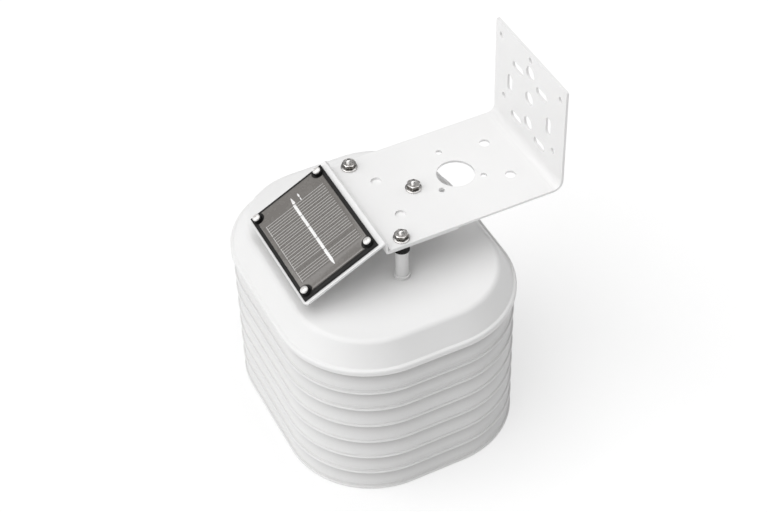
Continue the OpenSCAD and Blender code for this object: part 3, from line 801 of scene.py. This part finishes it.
def cut_with(piece, cutter_mesh, smooth=35, crossing=False):
    """Cuts a bmesh in millimetres out of a piece. crossing says that the cutter's bars overlap."""
    bmesh.ops.scale(cutter_mesh, vec=(MM, MM, MM), verts=cutter_mesh.verts)
    bmesh.ops.recalc_face_normals(cutter_mesh, faces=cutter_mesh.faces)
    data = bpy.data.meshes.new("cutter")
    cutter_mesh.to_mesh(data)
    cutter_mesh.free()
    cutter = bpy.data.objects.new("cutter", data)
    bpy.context.scene.collection.objects.link(cutter)
    boolean = piece.modifiers.new("cut", "BOOLEAN")
    boolean.object = cutter
    boolean.solver = "EXACT"
    boolean.use_self = crossing
    graph = bpy.context.evaluated_depsgraph_get()
    cut = bpy.data.meshes.new_from_object(piece.evaluated_get(graph))
    piece.modifiers.clear()
    piece.data = cut
    bpy.data.objects.remove(cutter)
    shade(cut, smooth)


def panel_screws():
    """Bright pan-head screws with a cross recess, each turned differently."""
    head_r, shank_r = 3.1, 1.45
    recess_w, recess_l, recess_depth = 0.75, 3.4, 0.9
    inverse = SLOPE.inverted()
    points = [inverse @ (v.co / MM) for v in frame["nodes"]["panel_screws"].data.vertices]
    spacer_top = max((inverse @ (v.co / MM)).z for v in frame["nodes"]["panel_spacers"].data.vertices)
    low, high = min(p.z for p in points), max(p.z for p in points)
    height = high - spacer_top
    shift = Matrix.Translation((-SLOPE.translation.x, 0, 0))
    for number, spot in enumerate(screw_places(), 1):
        turn = Matrix.Rotation(math.radians(20 + 37 * number), 4, "Z")
        place = SLOPE @ shift @ Matrix.Translation((spot.x, spot.y, spacer_top)) @ turn
        mesh = bmesh.new()
        pan_head(mesh, head_r, height, shank_r, spacer_top - low, place)
        screw = add_piece(f"panel_screw_{number}", mesh, "bright_steel", smooth=35)
        face = place @ Matrix.Translation((0, 0, height))
        cut_with(screw, cross_cutter(recess_w, recess_l, recess_depth, face), crossing=True)
        if number == 1:
            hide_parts("panel_screws")


# ---------------------------------------------------------------- shield shells

def corner_radius(node):
    """Corner radius of a shell, from how far its straight sides run."""
    points = [v.co / MM for v in frame["nodes"][node].data.vertices]
    side = max(p.x for p in points)
    straight = max(p.y for p in points if p.x > side - 0.01) - min(p.y for p in points if p.x > side - 0.01)
    return (max(p.y for p in points) - min(p.y for p in points) - straight) / 2


def plan_ring(half_x, half_y, radius, out, height, middle, steps=22):
    """A rounded rectangle about a middle, moved outwards by out. Its points run anticlockwise: arcs at
    the corners, with the straight sides between them cut into side_steps."""
    ring = []
    side_steps = 6
    for number, (sign_x, sign_y) in enumerate(((1, 1), (-1, 1), (-1, -1), (1, -1))):
        centre = (middle.x + sign_x * (half_x - radius), middle.y + sign_y * (half_y - radius))
        turn = 90 * number
        ring += [(x, y, height) for x, y in arc_points(centre, radius + out, turn, turn + 90, steps)]
    full = []
    for k, point in enumerate(ring):
        full.append(point)
        after = ring[(k + 1) % len(ring)]
        if (k + 1) % (steps + 1) == 0:
            for n in range(1, side_steps):
                share = n / side_steps
                full.append(tuple(a + (b - a) * share for a, b in zip(point, after)))
    return full


def deck_ring(outer, middle, reach, height):
    """A circle about the middle whose points lie on the same bearings as an outer ring's."""
    ring = []
    for x, y, _ in outer:
        bearing = Vector((x - middle.x, y - middle.y)).normalized() * reach
        ring.append((middle.x + bearing.x, middle.y + bearing.y, height))
    return ring


def shell(node, outside, inside, hole, deck_top, deck_under):
    """A moulded shell in a CAD node's place: outside and inside profiles of (out, up) points that start
    at the rim, and a flat deck with a round hole of that radius, or none where hole is 0."""
    low, high = box_mm(node)
    middle = (low + high) / 2
    half = (high - low) / 2
    radius = corner_radius(node)
    rim = [plan_ring(half.x, half.y, radius, out, low.z + up, middle) for out, up in outside]
    under = [plan_ring(half.x, half.y, radius, out, low.z + up, middle) for out, up in inside]
    reach = hole or 1.0
    half_way = reach + (half.y - hole) / 4
    mesh = bmesh.new()
    rings = under[::-1] + rim
    rings += [deck_ring(rim[-1], middle, r, low.z + deck_top) for r in (half_way, reach)]
    bottom = [deck_ring(rim[-1], middle, r, low.z + deck_under) for r in (reach, half_way)]
    if hole:
        skin_rings(mesh, bottom + rings, loop=True)
    else:
        skin_rings(mesh, bottom[1:] + rings[:-1])
    return mesh


def louvre_profiles(height, wall, ridged):
    """Outside and inside of a louvre from its rim up, as (out, up): a bead, a leaning skirt with a second
    fine ridge on some, and a round shoulder to the deck."""
    lean = math.radians(12)
    bead_r, foot = 1.25, 0.25
    bead_start, bead_end = -80, 90
    shoulder_r = 6.0
    skirt_foot = (-1.55, 2.8)
    hollow = (0.12, 0.06)
    skirt_middle = 8
    ridge = [(3.9, 0), (4.2, 0.3), (4.6, 0.42), (5.0, 0.25), (5.5, 0)]

    def skirt(up):
        return skirt_foot[0] - (up - skirt_foot[1]) * math.tan(lean)

    top = height - shoulder_r * (1 - math.sin(lean))
    centre = (skirt(top) - shoulder_r * math.cos(lean), height - shoulder_r)
    outside = arc_points((-bead_r, bead_r), bead_r, bead_start, bead_end, 12)
    outside += [(skirt_foot[0] + hollow[0], 2 * bead_r + hollow[1]), skirt_foot]
    if ridged:
        outside += [(skirt(up) + out, up) for up, out in ridge]
    outside.append((skirt(skirt_middle), skirt_middle))
    outside += arc_points(centre, shoulder_r, math.degrees(lean), 90, 8)
    inner = wall / math.cos(lean)
    inside = [(-bead_r - foot, 0.0), (skirt(0) - inner + foot, 0.0), (skirt(foot) - inner, foot)]
    inside += arc_points(centre, shoulder_r - wall, math.degrees(lean), 90, 8)
    return outside, inside


def cap_profiles(height, wall):
    """Outside and inside of the cap from its rim up: a soft lip, a roll, a steep shoulder, a round edge."""
    slope, roll_end = 60, 88
    steep = math.radians(slope)
    edge_r, roll_r, ledge, shoulder_h = 6.0, 2.0, 2.5, 19
    fillet = ((0.25, 0.12), (0.7, 0.6))
    chamfer = 0.3
    roll_up = height - shoulder_h - roll_r
    run = (shoulder_h - edge_r * (1 - math.cos(steep))) / math.tan(steep)
    centre = (-ledge - run - edge_r * math.sin(steep), height - edge_r)
    outside = [(-0.5, 0.0), (-0.15, 0.15), (0.0, 0.5)]
    outside += arc_points((-roll_r, roll_up), roll_r, 0, roll_end, 8)
    outside += [(-ledge - back, roll_up + roll_r + rise) for back, rise in fillet]
    outside += arc_points(centre, edge_r, 90 - slope, 90, 8)
    inside = [(-wall + chamfer, 0.0), (-wall, chamfer)]
    inside += arc_points(centre, edge_r - wall, 90 - slope, 90, 8)
    return outside, inside


def drill_cutter(holes, low, high):
    """Round bars at (x, y, radius), from low to high."""
    mesh = bmesh.new()
    for x, y, radius in holes:
        lathe(mesh, [(radius, low), (radius, high)], at(x, y, 0), 40)
    return mesh


def middles(node):
    """Middle of each of a node's separate solids."""
    return [(low + high) / 2 for low, high in node_islands(node)]


def round_holes(spots, radius):
    """Holes for drill_cutter, all of one radius."""
    return [(p.x, p.y, radius) for p in spots]


def shells():
    """The cap and the seven louvres. Those near the top and the foot are ridged, and only the last one
    takes the guard's screws and the cable gland."""
    stud_hole, screw_hole, gland_hole = 2.6, 1.55, 6.0
    deck_hole, last_deck_hole = 30.5, 27.0
    studs = round_holes(middles("hanger_studs"), stud_hole)
    cap_shell(studs)
    louvres = sorted(name for name in frame["nodes"] if name.startswith("louvre_") and name[7:].isdigit())
    gland = sum(box_mm("cable_gland"), Vector()) / 2
    fittings = round_holes(middles("guard_screws"), screw_hole) + round_holes([gland], gland_hole)
    for number, name in enumerate(louvres, 1):
        ridged = number <= 2 or number >= len(louvres) - 1
        if number == len(louvres):
            louvre_shell(name, ridged, last_deck_hole, studs + fittings)
        else:
            louvre_shell(name, ridged, deck_hole, studs)


def cap_shell(studs):
    """The cap: no opening in its deck but the stud holes and the panel lead's."""
    wall, lead_hole = 2.2, 3.5
    drill_down, drill_up = 5, 3
    low, high = box_mm("cap")
    height = high.z - low.z
    outside, inside = cap_profiles(height, wall)
    mesh = shell("cap", outside, inside, 0, height, height - wall)
    cap = add_piece("cap_shell", mesh, "white_plastic", smooth=50)
    lead = min(middles("lead_grommets"), key=lambda p: p.z)
    holes = studs + round_holes([lead], lead_hole)
    cut_with(cap, drill_cutter(holes, high.z - drill_down, high.z + drill_up), 50)
    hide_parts("cap")


def louvre_shell(name, ridged, deck_hole, holes):
    """One louvre, with a round opening in its deck."""
    wall = 1.8
    drill_down, drill_up = 4, 3
    low, high = box_mm(name)
    height = high.z - low.z
    outside, inside = louvre_profiles(height, wall, ridged)
    mesh = shell(name, outside, inside, deck_hole, height, height - wall)
    piece = add_piece(f"{name}_shell", mesh, "white_plastic", smooth=50)
    cut_with(piece, drill_cutter(holes, high.z - drill_down, high.z + drill_up), 50)
    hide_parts(name)


# ---------------------------------------------------------------- fan

def fan_impeller():
    """A moulded hub with twisted, hollow-backed blades inside the CAD fan's envelope."""
    low, high = box_mm("fan_impeller")
    shaft_low, shaft_high = box_mm("fan_shaft")
    middle = (shaft_low + shaft_high) / 2
    radius = max(high.x - low.x, high.y - low.y) / 2
    hub_r, shaft_r = 6.5, (shaft_high.x - shaft_low.x) / 2
    edge = 0.8
    collar_top, collar_foot, sink = 1.2, 1.0, 0.4
    root_lap, tip_gap = 0.6, 0.1
    blades = 5
    mesh = bmesh.new()
    profile = [(shaft_r, low.z), (hub_r - edge, low.z), (hub_r, low.z + edge), (hub_r, high.z - edge)]
    profile += arc_points((hub_r - edge, high.z - edge), edge, 0, 90, 4)[1:]
    profile += [(shaft_r + collar_top, high.z), (shaft_r + collar_foot, high.z - sink)]
    profile.append((shaft_r, high.z - sink))
    lathe(mesh, profile, at(middle.x, middle.y, 0), 48, loop=True)
    for k in range(blades):
        place = at(middle.x, middle.y, (low.z + high.z) / 2, 360 / blades * k)
        blade(mesh, hub_r - root_lap, radius - tip_gap, high.z - low.z, place)
    fan = add_piece("fan_blades", mesh, "dark_plastic", body="fan", smooth=45)
    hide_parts("fan_impeller")


def blade(mesh, root, tip, depth, place):
    """One blade: its pitch falls and its chord grows towards the tip, and its section is cambered."""
    rings = []
    rows, points = 9, 8
    room = depth / 2 - 0.1
    for row in range(rows):
        share = row / (rows - 1)
        reach = root + (tip - root) * share
        pitch = math.radians(48 - 20 * share)
        chord = min(depth / math.sin(pitch) * 0.86, 8.5 + 7.5 * share)
        thick = 1.5 - 0.6 * share
        ring = []
        for side in (1, -1):
            for k in range(points + 1):
                along = (k / points - 0.5) * side
                fullness = 1 - (2 * along) ** 2
                across = 0.11 * chord * fullness + thick / 2 * math.sqrt(max(0.03, fullness)) * side
                x = along * chord
                swing = (x * math.cos(pitch) - across * math.sin(pitch)) / reach
                height = x * math.sin(pitch) + across * math.cos(pitch) - 0.05 * chord
                height = max(-room, min(room, height))
                ring.append((reach * math.cos(swing), reach * math.sin(swing), height))
        rings.append(ring)
    skin_rings(mesh, rings, place)


# ---------------------------------------------------------------- scene

def studio(low, high):
    """A pale floor, a surround that is bright above and dim below, and two large soft keys."""
    size, clearance = 6.0, 0.0005
    surround_strength = 0.24
    mesh = bmesh.new()
    bmesh.ops.create_grid(mesh, x_segments=1, y_segments=1, size=size)
    data = bpy.data.meshes.new("floor")
    mesh.to_mesh(data)
    mesh.free()
    data.materials.append(floor_paper())
    floor = bpy.data.objects.new("floor", data)
    floor.location = (0, (low.y + high.y) / 2, low.z - clearance)
    bpy.context.scene.collection.objects.link(floor)
    world = bpy.data.worlds.new("surround")
    world.use_nodes = True
    tree = world.node_tree
    back = tree.nodes["Background"]
    back.inputs["Strength"].default_value = surround_strength
    height = tree.nodes.new("ShaderNodeSeparateXYZ")
    tree.links.new(tree.nodes.new("ShaderNodeTexCoord").outputs["Generated"], height.inputs[0])
    ramp = tree.nodes.new("ShaderNodeMapRange")
    ramp.interpolation_type = "SMOOTHSTEP"
    for name, value in (("From Min", -0.05), ("From Max", 0.75), ("To Min", 0.08), ("To Max", 1.0)):
        ramp.inputs[name].default_value = value
    tree.links.new(height.outputs["Z"], ramp.inputs["Value"])
    tree.links.new(ramp.outputs[0], back.inputs["Color"])
    bpy.context.scene.world = world
    soft_key("top_light", Vector((0, 0, 1)), spread=80, strength=1.65)
    soft_key("panel_side_light", Vector((0, -0.77, 0.64)), spread=80, strength=1.65)


def soft_key(name, direction, spread, strength):
    """Even light from one direction, spread over that many degrees of the sky."""
    lamp = bpy.data.lights.new(name, "SUN")
    lamp.angle = math.radians(spread)
    lamp.energy = strength
    key = bpy.data.objects.new(name, lamp)
    key.rotation_mode = "QUATERNION"
    key.rotation_quaternion = direction.normalized().to_track_quat("Z", "Y")
    bpy.context.scene.collection.objects.link(key)


def camera():
    """Looks down on the panel's right-hand side. The aim is taken from the shelf's large hole."""
    azimuth, elevation, roll = math.radians(64.57), math.radians(44.52), math.radians(-1.71)
    lens, sensor = 85.05, 36.0
    distance, right_by, up_by = 1.3892, -0.05476, -0.06333
    back = Vector((math.sin(azimuth) * math.cos(elevation), -math.cos(azimuth) * math.cos(elevation),
                   math.sin(elevation)))
    level = (-back).cross(Vector((0, 0, 1))).normalized()
    upright = level.cross(-back)
    right = level * math.cos(roll) + upright * math.sin(roll)
    up = upright * math.cos(roll) - level * math.sin(roll)
    hole = MOUNTS["shelf_main_hole"]
    aim = Vector(hole["pos_m"]) + Vector((0, 0, hole["dims"]["length_mm"] * MM / 2))
    spot = aim + back * distance + right * right_by + up * up_by
    lens_data = bpy.data.cameras.new("camera")
    lens_data.lens = lens
    lens_data.sensor_width = sensor
    lens_data.clip_start = 0.05
    lens_data.clip_end = 30
    view = bpy.data.objects.new("camera", lens_data)
    axes = Matrix((right, up, back)).transposed().to_4x4()
    view.matrix_world = Matrix.Translation(spot) @ axes
    bpy.context.scene.collection.objects.link(view)
    bpy.context.scene.camera = view


dress_frame()
hanger_studs()
nuts("top_nuts", "top_nut", bore=2.3, turns=(8, 25, -6))
nuts("bottom_nuts", "bottom_nut", bore=2.3, turns=(14, -9, 3))
washers("top_washers", "top_washer", bore=2.6)
washers("bottom_washers", "bottom_washer", bore=2.6)
cell_fingers()
ribbons()
panel_resin()
panel_screws()
shells()
fan_impeller()
bpy.context.scene.view_settings.view_transform = "Standard"
studio(*cad_box)
camera()
